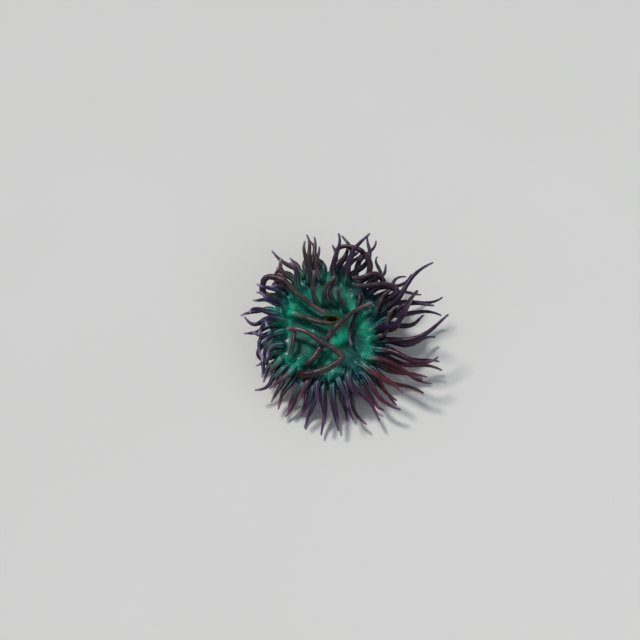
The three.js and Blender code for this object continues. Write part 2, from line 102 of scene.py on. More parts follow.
# The long tentacles: root azimuth and radius, length, radii at the base and tip, and the turns, each a
# share of the length, a heading and a pitch. Angles are in degrees.
LONG_TENTACLES = [
    ("hook", (240, 65), 148, 4.9, 2.6,
     [(0, -75, 47), (0.14, 2, 27), (0.3, 23, 17), (0.42, 41, 10),
      (0.5, 140, 8), (0.56, 152, -1), (0.75, 143, -1), (1, 172, -17)]),
    ("crossing", (236, 55), 125, 4.8, 2.4,
     [(0, -31, 56), (0.2, 58, 5), (0.45, 48, 30), (0.7, 45, -12), (1, 18, 12)]),
    ("sweeping", (152, 66), 141, 4.9, 2.6,
     [(0, 160, 20), (0.15, 158, 12), (0.28, 73, 39),
      (0.42, -20, 4), (0.6, -47, -10), (0.8, -33, -14), (1, -23, -18)]),
    ("level", (162, 53), 57, 4.9, 2.7, [(0, -21, 40), (0.3, -23, -3), (0.65, -24, 15), (1, -5, 5)]),
    ("upright", (118, 26), 52, 4.0, 1.9, [(0, 183, 77), (0.35, 115, 52), (0.7, 80, 35), (1, 92, 32)]),
    ("leaning", (94, 25), 47, 4.2, 2.0, [(0, 173, 67), (0.35, 99, 65), (0.7, 46, 29), (1, 47, 21)]),
    ("twin", (71, 26), 42, 4.0, 2.0, [(0, 162, 57), (0.35, 125, 57), (0.7, 58, 31), (1, 47, 21)]),
    ("inner", (43, 30), 34, 3.8, 1.8, [(0, 165, 66), (0.4, 122, 50), (1, 92, 20)]),
    ("spike", (30, 49), 25, 2.9, 1.2, [(0, 40, 70), (0.5, 98, 48), (1, 104, 22)]),
    ("raised", (222, 62), 40, 4.1, 1.9, [(0, 67, 64), (0.4, 77, 33), (1, 93, 5)]),
    ("slender", (49, 56), 79, 3.4, 1.7,
     [(0, -24, 66), (0.25, -101, -21), (0.5, -117, -7), (0.75, -106, -9), (1, -69, -1)]),
    ("upper", (40, 66), 79, 5.0, 3.0,
     [(0, 36, 22), (0.15, 46, 20), (0.3, 7, 24), (0.5, 163, 39), (0.75, 200, -16), (1, 187, 23)]),
    ("side", (24, 66), 92, 5.2, 3.2,
     [(0, 20, 17), (0.15, 22, 18), (0.3, -5, 44), (0.45, 143, 4), (0.7, 181, -10), (1, 185, 23)]),
    ("tall", (358, 67), 73, 4.4, 2.0,
     [(0, -17, 0), (0.15, 0, 24), (0.4, 62, 51), (0.7, 55, 31), (1, 42, 21)]),
    ("arched", (343, 59), 57, 4.4, 2.0,
     [(0, 20, 38), (0.25, 35, 29), (0.5, 76, 22), (0.75, 59, 25), (1, 33, 26)]),
    ("bowed", (10, 59), 44, 4.2, 2.0, [(0, 53, 45), (0.3, 65, 19), (0.65, 64, 15), (1, 26, 39)]),
    ("turning", (59, 66), 95, 5.0, 2.7,
     [(0, 25, 22), (0.15, 22, 26), (0.3, 79, 41), (0.5, 127, 13), (0.75, 159, -8), (1, 200, -30)]),
]
LONG_FULLNESS = 0.85  # the power of the taper: a higher one keeps a tentacle thick for longer
ROW_FULLNESS = 1.35
ROOT_SPACING = 7.4  # from a long tentacle's root to the nearest root of a row

# How freely the tentacles of the rows bend, in degrees.
SWIRL = 24
SWAY = (18, 40)
LIFT = 13
CURL = 90
CURLED_TIP = 45

# ---------- small helpers


def smooth(x, low, high):
    t = np.clip((x - low) / (high - low), 0, 1)
    return t * t * (3 - 2 * t)


def mix(a, b, share):
    return a + (b - a) * share


def chance(index, purpose):
    """A repeatable number from 0 to 1 for a tentacle and a purpose."""
    x = math.sin(index * 12.9898 + purpose * 78.233) * 43758.5453
    return x - math.floor(x)


def spread(index, purpose, reach):
    return (2 * chance(index, purpose) - 1) * reach


def phase(index, purpose):
    """A repeatable angle, anywhere in about a whole turn."""
    return 6.3 * chance(index, purpose)


def towards(a, side, low, high):
    """1 where an azimuth faces a side, easing to 0 away from it, between two cosines."""
    return smooth(math.cos(a - math.radians(side)), low, high)


def length(v):
    return np.sqrt((v * v).sum(-1))


def unit_rows(v):
    return v / np.maximum(length(v), 1e-9)[..., None]


def add_object(name, data):
    made = bpy.data.objects.new(name, data)
    bpy.context.collection.objects.link(made)
    return made


# ---------- the living shape of the body


def disc_lobes(a):
    return 0.035 * np.sin(2 * a - 1.4) + 0.022 * np.sin(3 * a + 2.1) + 0.012 * np.sin(7 * a)


def foot_lobes(a):
    return 0.05 * np.sin(3 * a + 0.7) + 0.03 * np.sin(5 * a + 1.9)


def margin_wave(a):
    return 3.6 * np.sin(3 * a + 0.4) + 1.8 * np.sin(5 * a + 1.3)


def place(r, a, z):
    """Bends points of the turned profiles, given as radius, azimuth and height, into the living shape."""
    up = smooth(z, FOOT_HEIGHT, DISC_UNDERSIDE + 6)
    lobed = r * (1 + up * disc_lobes(a) + (1 - up) * foot_lobes(a))
    oval = up * (1 - smooth(r, *OVAL_FADE))
    drawn = up * (1 - smooth(r, *DRAWN_FADE))
    x = lobed * np.cos(a) * (1 + MOUTH_STRETCH * oval) + MOUTH_SHIFT[0] * drawn
    y = lobed * np.sin(a) * (1 - MOUTH_PINCH * oval) + MOUTH_SHIFT[1] * drawn
    wave = up * (r / MARGIN_RADIUS) ** 2 * margin_wave(a)
    return np.stack([x + up * DISC_SHIFT[0], y + up * DISC_SHIFT[1], z + wave + up * DISC_TILT * y], -1)


DISC_TOP = [(LIP_RADIUS + GAP, 52.5), (14, 50.6), (24, 49.2), (40, 50), (INNER_DISC_RADIUS, 50.4),
            (63, 49.2), (70.5, 46.6), (MARGIN_RADIUS, MARGIN_HEIGHT)]
FLARE = [(INNER_DISC_RADIUS, DISC_UNDERSIDE), (66, 35.5), (MARGIN_RADIUS, MARGIN_HEIGHT)]


def along(profile, x):
    return np.interp(x, [p[0] for p in profile], [p[1] for p in profile])


def body_at(x, y):
    """The radius and azimuth of points about the disc's centre, and the disc's skins above and below."""
    dx, dy = x - DISC_SHIFT[0], y - DISC_SHIFT[1]
    azimuth = np.arctan2(dy, dx)
    radius = np.hypot(dx, dy) / (1 + disc_lobes(azimuth))
    r = np.minimum(radius, MARGIN_RADIUS)
    lift = (r / MARGIN_RADIUS) ** 2 * margin_wave(azimuth) + DISC_TILT * dy
    return radius, azimuth, along(DISC_TOP, r) + lift, along(FLARE, r) + lift


# ---------- the tentacles' centre lines


def unit(heading, pitch):
    level = math.cos(pitch)
    return np.array([level * math.cos(heading), level * math.sin(heading), math.sin(pitch)])


def eased(turns, share):
    """The direction at a share of the length, eased between the turns."""
    following = max(1, next(i for i, turn in enumerate(turns) if turn[0] >= share))
    a, b = turns[following - 1], turns[following]
    s = smooth(share, a[0], b[0])
    return unit(math.radians(mix(a[1], b[1], s)), math.radians(mix(a[2], b[2], s)))


def root_of(azimuth, radius):
    return place(radius, azimuth, along(DISC_TOP, radius))


def grow(azimuth, radius, reach, direction):
    steps = [direction((i + 0.5) / CHAIN) * reach / CHAIN for i in range(CHAIN)]
    return root_of(azimuth, radius) + np.vstack([np.zeros(3), np.cumsum(steps, axis=0)])


def hanging(a):
    """How much the rim and its tentacles hang at an azimuth."""
    return towards(a, HANGING_SIDE, 0, 0.85)


def sweeping(a):
    """By how much the rows' tentacles turn from root to tip at an azimuth."""
    return math.radians(sum(turn * towards(a, side, low, 1) for side, low, turn in SWEPT_SIDES))


def growth(a):
    """How long the rows' tentacles grow at an azimuth."""
    return (1 + 0.3 * math.cos(a - math.radians(LONG_SIDE))) * (1 - 0.2 * hanging(a))


def row_direction(row, index, azimuth):
    """The direction along a tentacle of a row, with a bend and a sway of its own."""
    hang = hanging(azimuth)
    curl = towards(azimuth, CURLING_SIDE, 0.1, 0.9) * chance(index, 8)
    swirl = sweeping(azimuth) + math.radians(spread(index, 4, SWIRL)) * (1 - 0.5 * hang)
    curl_turn = math.radians(CURL) * curl * np.sign(chance(index, 9) - 0.5)
    sway = math.radians(mix(*SWAY, chance(index, 5))) * (1 - 0.55 * hang)
    sway_phase = TURN * chance(index, 6)
    lift = spread(index, 7, LIFT)
    root, middle, tip = [math.radians(mix(p, h, hang) + lift) for p, h in zip(row["pitch"], row["hang"])]
    curled_tip = tip + math.radians(CURLED_TIP) * curl

    def direction(share):
        wander = sway * math.sin(sway_phase + 5 * share) * smooth(share, 0, 0.3)
        heading = azimuth + swirl * share + wander + curl_turn * smooth(share, 0.35, 1)
        if share < 0.5:
            return unit(heading, mix(root, middle, share * 2))
        return unit(heading, mix(middle, curled_tip, share * 2 - 1))

    return direction


def tentacle(name, azimuth, radius, reach, base, tip, direction):
    """A tentacle and its chain of points. Those of the rows have no name."""
    return dict(name=name, long=name is not None, azimuth=azimuth, radius=radius, length=reach, base=base,
                tip=tip, points=grow(azimuth, radius, reach, direction))


def long_tentacles():
    return [
        tentacle(name, math.radians(azimuth), radius, reach, base, tip, lambda share: eased(turns, share))
        for name, (azimuth, radius), reach, base, tip, turns in LONG_TENTACLES
    ]


def row_tentacles(roots):
    """The rows, without the tentacles that would grow from a long one's root."""
    made = []
    index = 0
    for row in ROWS:
        count = row["per_sector"] * SECTORS
        for k in range(count):
            index += 1
            azimuth = (k + 0.5) / count * TURN + math.radians(spread(index, 1, 0.9))
            radius = mix(row["radius"], row["hang_radius"], hanging(azimuth)) + spread(index, 2, 1)
            if length(roots - root_of(azimuth, radius)).min() < ROOT_SPACING:
                continue
            reach = row["length"] * growth(azimuth) * (1 + spread(index, 3, 0.16))
            direction = row_direction(row, index, azimuth)
            made.append(tentacle(None, azimuth, radius, reach, row["base"], row["tip"], direction))
    return made


def taper(t, share):
    return mix(t["base"], t["tip"], share ** (LONG_FULLNESS if t["long"] else ROW_FULLNESS))


def root_spread(arc):
    """How much a tentacle is widened at a distance from its root."""
    return 1 + ROOT_SPREAD * np.exp(-arc / ROOT_SPREAD_LENGTH)


def girth(t, share):
    """The tentacle's radius at a share of its length: a spreading root, a taper and a rounded tip."""
    rounded = np.sqrt(np.maximum(0, 1 - smooth(share, 0.97, 1.03) ** 2))
    return taper(t, share) * root_spread(share * t["length"]) * rounded


def girths(tentacles):
    """The radii at each step of each chain."""
    shares = np.arange(CHAIN + 1) / CHAIN
    return np.array([girth(t, shares) for t in tentacles])


# ---------- settling the tentacles

BATCH = 400  # points compared at a time with all the others
SEARCH_EVERY = 10  # rounds
SEARCH_REACH = 16
PUSH = 1.4
STIFFNESS = 0.25


def near_pairs(points, reach):
    """Every two points of different tentacles that lie within a distance of each other."""
    flat = points[:, 1:].reshape(-1, 3)
    owner = np.repeat(np.arange(len(points)), CHAIN)
    step = np.tile(np.arange(1, CHAIN + 1), len(points))
    found = []
    for low in range(0, len(flat), BATCH):
        gap = length(flat[low:low + BATCH, None] - flat[None])
        i, j = np.nonzero(gap < reach)
        i = i + low
        apart = owner[i] < owner[j]
        found.append(np.stack([i[apart], j[apart]], 1))
    i, j = np.concatenate(found).T
    return owner[i], step[i], owner[j], step[j]


def keep_off_body(p, radius, share):
    """Moves points out of the body and off the floor."""
    free = radius + CLEARANCE * smooth(share, 0.05, 0.2)
    r, azimuth, top, under = body_at(p[:, 0], p[:, 1])
    above = (r < MARGIN_RADIUS) & (p[:, 2] > (top + under) / 2)
    beside = ~above & (r < MARGIN_RADIUS + free) & (p[:, 2] > under - free)
    lifted = np.maximum(p[:, 2], top + free * smooth(share, 0, 0.12))
    outward = np.where(beside & (p[:, 2] < MARGIN_HEIGHT), MARGIN_RADIUS + free - r, 0)
    p[:, 2] = np.where(above, lifted, p[:, 2])
    p[:, 0] += outward * np.cos(azimuth)
    p[:, 1] += outward * np.sin(azimuth)
    p[:, 2] = np.maximum(p[:, 2], radius + FLOOR_CLEARANCE)
    return p


def pushes(points, radii, pairs):
    """How far each point is moved by those of other chains that are too near."""
    a, i, b, j = pairs
    away = points[a, i] - points[b, j]
    distance = np.maximum(length(away), 1e-6)
    short = radii[a, i] + radii[b, j] + CLEARANCE - distance
    close = short > 0
    a, i, b, j = (part[close] for part in pairs)
    move = away[close] * (0.5 * short[close] / distance[close])[:, None]
    push = np.zeros_like(points)
    hits = np.zeros(points.shape[:2])
    np.add.at(push, (a, i), move)
    np.subtract.at(push, (b, j), move)
    np.add.at(hits, (a, i), 1)
    np.add.at(hits, (b, j), 1)
    return push * (PUSH / np.maximum(1, hits))[..., None]


def settle(tentacles):
    """Pushes the chains clear of each other, of the body and of the floor, keeping lengths and bends."""
    points = np.array([t["points"] for t in tentacles])
    radii = girths(tentacles)
    step = np.array([t["length"] / CHAIN for t in tentacles])
    bends = points[:, 1:-1] - (points[:, :-2] + points[:, 2:]) / 2
    for round_number in range(SETTLING_ROUNDS):
        if round_number % SEARCH_EVERY == 0:
            pairs = near_pairs(points, SEARCH_REACH)
        points[:, 2:] += pushes(points, radii, pairs)[:, 2:]
        for k in range(2, CHAIN + 1):
            points[:, k] = keep_off_body(points[:, k], radii[:, k], k / CHAIN)
        for k in range(2, CHAIN):
            rest = (points[:, k - 1] + points[:, k + 1]) / 2 + bends[:, k - 1]
            points[:, k] += (rest - points[:, k]) * STIFFNESS
        for k in range(2, CHAIN + 1):
            points[:, k] = points[:, k - 1] + unit_rows(points[:, k] - points[:, k - 1]) * step[:, None]
    for t, settled in zip(tentacles, points):
        t["points"] = settled


# ---------- smooth curves and meshes


def curve_at(points, axes, u):
    """A smooth curve through points, at u, which counts points from the first.

    The first axes columns are the distance that the curve's tangents are weighed by.
    """
    reach = length(np.diff(points[:, :axes], axis=0))[:, None]
    slope = np.diff(points, axis=0) / reach
    inner = (slope[:-1] * reach[1:] + slope[1:] * reach[:-1]) / (reach[:-1] + reach[1:])
    tangent = np.vstack([slope[:1], inner, slope[-1:]])
    i = np.clip(np.floor(u).astype(int), 0, len(points) - 2)
    t = (u - i)[:, None]
    return (
        (2 * t**3 - 3 * t**2 + 1) * points[i]
        + (t**3 - 2 * t**2 + t) * reach[i] * tangent[i]
        + (3 * t**2 - 2 * t**3) * points[i + 1]
        + (t**3 - t**2) * reach[i] * tangent[i + 1]
    )


def tube_faces(rows, sides, inside_out=False):
    """A tube's quads and the fans that close its ends, as the ring and the side of each corner.

    Ring 0 is the point at the start, and ring rows + 1 the point at the end.
    """
    i, j = (grid.ravel() for grid in np.meshgrid(np.arange(1, rows), np.arange(sides), indexing="ij"))
    k = np.arange(sides)
    quads = [np.stack([i, i, i + 1, i + 1], 1), np.stack([j, j + 1, j + 1, j], 1)]
    start = [np.tile([0, 1, 1], (sides, 1)), np.stack([k + 0.5, k + 1, k], 1)]
    end = [np.tile([rows + 1, rows, rows], (sides, 1)), np.stack([k + 0.5, k, k + 1], 1)]
    faces = [quads, start, end]
    if inside_out:
        faces = [[np.roll(corners[:, ::-1], 1, axis=1) for corners in kind] for kind in faces]
    return faces


def point_numbers(ring, side, rows, sides):
    """The numbers of a tube's points, of which the two at its ends come last."""
    own = (ring - 1) * sides + np.floor(side).astype(int) % sides
    return np.where(ring == 0, rows * sides, np.where(ring > rows, rows * sides + 1, own))


class Surface:
    """Points, faces and what each corner of a face carries, gathered piece by piece."""

    def __init__(self):
        self.points, self.sizes, self.corners = [], [], []
        self.where, self.turn, self.tone, self.uv, self.owner = [], [], [], [], []
        self.count = 0

    def add(self, points, faces, where, turn, tone, uv, owner):
        """Each of faces holds point numbers, a face to a row. The corners' data are in the same order."""
        self.points.append(points * MM)
        for rows, w, r, u in zip(faces, where, turn, uv):
            self.sizes.append(np.full(len(rows), rows.shape[1]))
            self.corners.append(rows.reshape(-1) + self.count)
            self.where.append(w.reshape(-1, 3))
            self.turn.append(r.reshape(-1, 3))
            self.uv.append(u.reshape(-1, 2))
            self.tone.append(np.tile(tone, (rows.size, 1)))
            self.owner.append(np.full(len(rows), owner))
        self.count += len(points)

    def to_object(self, name):
        def all_of(parts, kind=np.float32):
            return np.concatenate(parts).astype(kind).ravel()

        sizes = np.concatenate(self.sizes)
        mesh = bpy.data.meshes.new(name)
        mesh.vertices.add(self.count)
        mesh.vertices.foreach_set("co", all_of(self.points))
        mesh.loops.add(int(sizes.sum()))
        mesh.loops.foreach_set("vertex_index", all_of(self.corners, np.int32))
        mesh.polygons.add(len(sizes))
        mesh.polygons.foreach_set("loop_start", (np.cumsum(sizes) - sizes).astype(np.int32))
        mesh.update(calc_edges=True)
        mesh.uv_layers.new(name="OFBake").data.foreach_set("uv", all_of(self.uv))
        for key in ("where", "turn", "tone"):
            layer = mesh.attributes.new(key, "FLOAT_VECTOR", "CORNER")
            layer.data.foreach_set("vector", all_of(getattr(self, key)))
        owner = mesh.attributes.new("owner", "INT", "FACE")
        owner.data.foreach_set("value", all_of(self.owner, np.int32))
        mesh.validate()
        return add_object(name, mesh)


# ---------- the layout of the texture

TEXTURE_GAP = 1.6  # between the charts, in millimetres of skin


class Charts:
    """Packs rectangles of skin into the unit square, on shelves."""

    def __init__(self, sizes):
        order = sorted(sizes, key=lambda key: -sizes[key][1])
        area = sum((w + TEXTURE_GAP) * (h + TEXTURE_GAP) for w, h in sizes.values())
        self.side = math.sqrt(area)
        while not self.shelve(sizes, order):
            self.side *= 1.02

    def shelve(self, sizes, order):
        self.corner = {}
        x = y = shelf = 0.0
        for i in order:
            w, h = sizes[i][0] + TEXTURE_GAP, sizes[i][1] + TEXTURE_GAP
            if x + w > self.side:
                x, y, shelf = 0.0, y + shelf, 0.0
            if y + h > self.side or w > self.side:
                return False
            self.corner[i] = (x + TEXTURE_GAP / 2, y + TEXTURE_GAP / 2)
            x, shelf = x + w, max(shelf, h)
        return True

    def uv(self, i, across, along_it):
        """The texture's coordinates of a chart's own, which are in millimetres."""
        return np.stack([across + self.corner[i][0], along_it + self.corner[i][1]], -1) / self.side


# ---------- the body's surface

MARGIN_BAND = 0.63  # at the disc's widest
FOOT_BAND = 0.979  # from which the foot's face is reckoned

# The outline from the throat's floor over the lips and the disc, round the margin and down the column to
# the middle of the foot: radius, height, and the place in the bands of colour, from 0 in the throat to 1.
OUTLINE = np.array([
    (0.0, THROAT_FLOOR, 0.00), (3.6, 44.8, 0.03), (4.0, 47.0, 0.04), (4.3, 51.0, 0.06), (4.8, 53.6, 0.08),
    (5.6, 54.8, 0.10), (6.4, LIP_HEIGHT, 0.11), (7.6, 54.5, 0.12), (8.8, 53.0, 0.14), (10.5, 51.6, 0.16),
    (14.0, 50.5, 0.19), (24.0, 49.2, 0.27), (40.0, 50.0, 0.37), (INNER_DISC_RADIUS, 50.4, 0.47),
    (63.0, 49.2, 0.53), (70.5, 46.6, 0.58), (74.5, 44.0, 0.61),
    (MARGIN_RADIUS, MARGIN_HEIGHT, MARGIN_BAND), (75.0, 40.3, 0.65), (66.0, 35.5, 0.70),
    (INNER_DISC_RADIUS, DISC_UNDERSIDE, 0.76), (43.5, 27.0, 0.81), (WAIST_RADIUS, WAIST_HEIGHT, 0.86),
    (42.5, 11.0, 0.92), (47.0, FOOT_HEIGHT, 0.95), (FOOT_RADIUS, 2.0, 0.975), (48.5, 0.0, 0.98),
    (0.0, 0.0, 1.00),
])
ACROSS_DISC = slice(9, 18)  # the outline's points from the lips to the margin
# The steps in which each stretch of the outline is turned.
RING_STEPS = [3, 2, 4, 3, 2, 2, 2, 2, 3, 3, 6, 9, 8, 6, 5, 3, 2, 2, 7, 10, 10, 7, 9, 6, 5, 3, 4]
AZIMUTHS = 300
DISC_FOLDS = 48
LIP_FOLDS = 22
THROAT_FOLDS = 11
RIBS = 24
FOOT_FOLDS = 30
WART_ROWS = 36
WART_ROW_WIDTH = 7.2
WART_SPACING = 4.6
WART_HEIGHT = 0.75
WART_AREA = 1.7
COLUMN_STRIP = TURN * 52  # the width of the column's chart, from the column's mean radius
COLUMN_STRIP_HEIGHT = 75.0
DISC_CHART = MARGIN_RADIUS + 1  # half the width of the disc's chart
FOOT_CHART = FOOT_RADIUS + 1


def window(x, low, high, edge):
    return smooth(x, low - edge, low + edge) * (1 - smooth(x, high - edge, high + edge))


def relief(band, a, arc):
    """How far folds, warts and wrinkles stand out of the turned outline, and how much is wart."""
    wander = 0.5 * np.sin(3 * a + 0.8) + 0.35 * np.sin(7 * a + 2.0)
    lips = 0.34 * np.cos(LIP_FOLDS * a + wander) * window(band, 0.07, 0.145, 0.02)
    throat = 0.25 * np.cos(THROAT_FOLDS * a + wander) * window(band, 0.02, 0.06, 0.015)
    furrows = np.cos(DISC_FOLDS * a + 2 * wander + 0.03 * arc)
    rim = 0.5 * furrows * window(band, 0.52, 0.72, 0.07)
    rolling = np.sin(9 * a + 0.11 * arc) * np.sin(5 * a - 0.07 * arc + 1.0)
    swells = 0.42 * rolling * window(band, 0.24, 0.5, 0.06)

    rows = WART_ROWS * a / TURN + 0.1 * np.sin(arc * 0.9)
    across = (rows - np.round(rows)) * WART_ROW_WIDTH
    steps = arc / WART_SPACING + 0.5 * (np.round(rows) % 2) + 0.12 * np.sin(5.3 * np.round(rows))
    down = (steps - np.round(steps)) * WART_SPACING
    warts = np.exp(-(across**2 + down**2) / WART_AREA) * window(band, 0.66, 0.88, 0.02)

    creases = np.sin(arc * 2.4 + 1.2 * np.sin(5 * a) + 0.8 * np.sin(13 * a))
    wrinkles = 0.3 * creases * window(band, 0.86, 0.965, 0.02)
    ribs = 0.3 * np.cos(RIBS * a + wander) * window(band, 0.74, 0.955, 0.02)
    foot_edge = 0.5 * np.cos(FOOT_FOLDS * a + 2 * wander) * window(band, 0.955, 0.977, 0.008)
    return lips + throat + rim + swells + WART_HEIGHT * warts + wrinkles + ribs + foot_edge, warts


def body_rings():
    """The outline in fine steps, as radius, height and band, and the distance along it."""
    u = np.concatenate([i + np.arange(n) / n for i, n in enumerate(RING_STEPS)] + [[len(OUTLINE) - 1]])
    rings = curve_at(OUTLINE, 2, u)
    rings[:, :2] = np.maximum(rings[:, :2], 0)
    arc = np.concatenate([[0], np.cumsum(length(np.diff(rings[:, :2], axis=0)))])
    return rings, arc


def body_points(rings, arc):
    """The living body's points, ring by ring and then the two on the axis, and how much is wart."""
    ahead = np.gradient(rings[:, :2], axis=0)
    outward = unit_rows(np.stack([-ahead[:, 1], ahead[:, 0]], 1))[1:-1]
    radius, height, band = (rings[1:-1, k:k + 1] for k in range(3))
    a = np.arange(AZIMUTHS) / AZIMUTHS * TURN
    stand, warts = relief(band, a[None], arc[1:-1, None])
    r = radius + stand * outward[:, :1]
    z = np.maximum(height + stand * outward[:, 1:], 0)
    z = np.where(height < 0.01, 0, z)
    grid = place(r, np.broadcast_to(a, r.shape), z)
    ends = place(np.zeros(2), np.zeros(2), rings[[0, -1], 1])
    bare = np.zeros(AZIMUTHS)
    return np.vstack([grid.reshape(-1, 3), ends]), np.vstack([bare, warts, bare])


def body_chart(charts, radius, azimuth, band, arc):
    """The texture's coordinates: the disc, the column and the foot have a chart each."""
    mean_band = band.mean(1, keepdims=True)[..., None]
    x, y = radius * np.cos(azimuth * TURN), radius * np.sin(azimuth * TURN)
    disc = charts.uv("disc", x + DISC_CHART, y + DISC_CHART)
    foot = charts.uv("foot", x + FOOT_CHART, y + FOOT_CHART)
    column = charts.uv("column", azimuth * COLUMN_STRIP, arc)
    return np.where(mean_band < MARGIN_BAND, disc, np.where(mean_band > FOOT_BAND, foot, column))


def body_surface(surface, charts):
    rings, arc = body_rings()
    points, warts = body_points(rings, arc)
    margin = np.argmax(rings[:, 2] >= MARGIN_BAND)
    rows = len(rings) - 2
    faces, where, turn, uv = [], [], [], []
    for ring, side in tube_faces(rows, AZIMUTHS, inside_out=True):
        azimuth = side / AZIMUTHS
        zero = 0 * azimuth
        radius, band = rings[ring, 0], rings[ring, 2]
        wart = warts[ring, np.floor(side).astype(int) % AZIMUTHS]
        faces.append(point_numbers(ring, side, rows, AZIMUTHS))
        where.append(np.stack([band, zero, wart], -1))
        turn.append(np.stack([azimuth, zero, zero], -1))
        uv.append(body_chart(charts, radius, azimuth, band, arc[ring] - arc[margin]))
    surface.add(points, faces, where, turn, np.zeros(3), uv, 0)


# ---------- the tentacles' surfaces

RING_SPACING = 1.8
LONG_SIDES = 16
ROW_SIDES = 12
LONG_LUMP = 0.05  # by which a tentacle swells along its length, as a share of its radius
ROW_LUMP = 0.035
FLATNESS = 0.05
CAP = 2.0  # the rounded end's length, in radii of the tip
CAP_ANGLES = np.radians([16, 34, 52, 70, 82])
HUE_SPREAD = 0.035  # of a turn, by which a tentacle's colour strays from its neighbours'


def tentacle_rings(t, number):
    """The arc length, centre and radius of each ring, and the tip's own arc length and point."""
    step = t["length"] / CHAIN
    chain = t["points"]
    ahead = unit_rows(chain[2] - chain[0])
    beyond = chain[-1] + unit_rows(chain[-1] - chain[-2]) * step
    route = np.vstack([chain[0] - ahead * ROOT_DEPTH, chain, beyond])
    cap = CAP * t["tip"]
    cap_start = t["length"] + 0.5 * t["tip"] - cap
    plain = np.linspace(0, cap_start, max(4, round(cap_start / RING_SPACING)) + 1)
    arc = np.concatenate([[-ROOT_DEPTH, -ROOT_DEPTH / 2], plain, cap_start + cap * np.sin(CAP_ANGLES)])
    end = cap_start + cap
    centre = curve_at(route, 3, np.where(arc < 0, 1 + arc / ROOT_DEPTH, 1 + arc / step))
    point = curve_at(route, 3, np.array([1 + end / step]))[0]
    lump = LONG_LUMP if t["long"] else ROW_LUMP
    slow = np.sin(arc * 0.47 + phase(number, 11))
    quick = np.sin(arc * 1.15 + phase(number, 12))
    swell = 1 + lump * (slow + 0.6 * quick * np.cos(arc * 0.13))
    rounded = np.concatenate([np.ones(len(plain) + 2), np.cos(CAP_ANGLES)])
    share = np.clip(arc / t["length"], 0, 1)
    radius = taper(t, share) * root_spread(np.maximum(arc, 0)) * swell * rounded
    return arc, centre, radius, end, point


def frames_along(line):
    """Two directions across a line at each of its points, carried along it without a twist."""
    ahead = unit_rows(np.gradient(line, axis=0))
    across = unit_rows(np.cross([0, 0, 1], ahead[0]))
    first, second = [], []
    for direction in ahead:
        across = across - direction * (across @ direction)
        across = across / np.linalg.norm(across)
        first.append(across)
        second.append(np.cross(direction, across))
    return np.array(first)[:, None], np.array(second)[:, None]


def chart_width(t):
    """The width of a tentacle's chart: the way round it where it is of middling thickness."""
    return TURN * 0.7 * t["base"]


def tentacle_surface(surface, charts, t, number):
    arc, centre, radius, end, point = tentacle_rings(t, number)
    sides = LONG_SIDES if t["long"] else ROW_SIDES
    rows = len(arc)
    angle = (np.arange(sides) / sides * TURN)[None, :, None]
    first, second = frames_along(centre)
    flattened = 1 + FLATNESS * np.cos(2 * angle + phase(number, 13))
    outward = first * np.cos(angle) + second * np.sin(angle)
    grid = centre[:, None] + outward * radius[:, None, None] * flattened
    points = np.vstack([grid.reshape(-1, 3), centre[:1], point[None]])

    root_band = np.interp(t["radius"], OUTLINE[ACROSS_DISC, 0], OUTLINE[ACROSS_DISC, 2])
    azimuth = (t["azimuth"] / TURN) % 1
    arcs = np.concatenate([arc[:1], arc, [end]])
    shares = np.clip(arcs / t["length"], 0, 1)
    faces, where, turn, uv = [], [], [], []
    for ring, side in tube_faces(rows, sides):
        around = side / sides
        whole = np.ones_like(around)
        faces.append(point_numbers(ring, side, rows, sides))
        where.append(np.stack([root_band * whole, arcs[ring], shares[ring]], -1))
        turn.append(np.stack([azimuth * whole, around, whole], -1))
        uv.append(charts.uv(number, around * chart_width(t), arcs[ring] + ROOT_DEPTH))
    coloured_long = t["long"] and t["name"] != "slender"  # the slender one has the rows' colours
    hue = (azimuth + spread(number, 14, HUE_SPREAD)) % 1
    tone = np.array([hue, chance(number, 15), float(coloured_long)])
    surface.add(points, faces, where, turn, tone, uv, number)


# ---------- one skin

TOUCHING = 1.2  # the gap under which two tentacles are joined one after the other
RELAXED = 4.0  # how far from a join the skin is softened
RELAX_ROUNDS = 24


def apart_groups(tentacles):
    """Splits the tentacles into groups whose members don't touch each other."""
    points = np.array([t["points"] for t in tentacles])
    radii = girths(tentacles)
    groups = []
    for a in range(len(tentacles)):
        touched = set()
        for b in range(a):
            gap = length(points[a][:, None] - points[b][None]) - radii[a][:, None] - radii[b][None]
            if gap.min() < TOUCHING:
                touched.add(b)
        for group in groups:
            if touched.isdisjoint(group):
                group.append(a)
                break
        else:
            groups.append([a])
    return groups


def union(body, others):
    """Joins the others into the body, one by one."""
    for other in others:
        join = body.modifiers.new("join", "BOOLEAN")
        join.operation = "UNION"
        join.solver = "MANIFOLD"
        join.object = other
        evaluated = body.evaluated_get(bpy.context.evaluated_depsgraph_get())
        joined = bpy.data.meshes.new_from_object(evaluated)
        body.modifiers.clear()
        body.data = joined
        bpy.data.objects.remove(other)


def drop_crumbs(mesh):
    """Keeps the largest piece of a mesh and drops the specks that the joining leaves."""
    grown = bmesh.new()
    grown.from_mesh(mesh)
    left = set(grown.verts)
    pieces = []
    while left:
        piece = [left.pop()]
        for vertex in piece:
            found = {edge.other_vert(vertex) for edge in vertex.link_edges} & left
            left -= found
            piece.extend(found)
        pieces.append(piece)
    for crumb in sorted(pieces, key=len)[:-1]:
        bmesh.ops.delete(grown, geom=crumb, context="VERTS")
    grown.to_mesh(mesh)
    grown.free()


def read(data, key, size, kind=np.float32):
    values = np.empty(len(data) * size, kind)
    data.foreach_get(key, values)
    return values.reshape(-1, size) if size > 1 else values


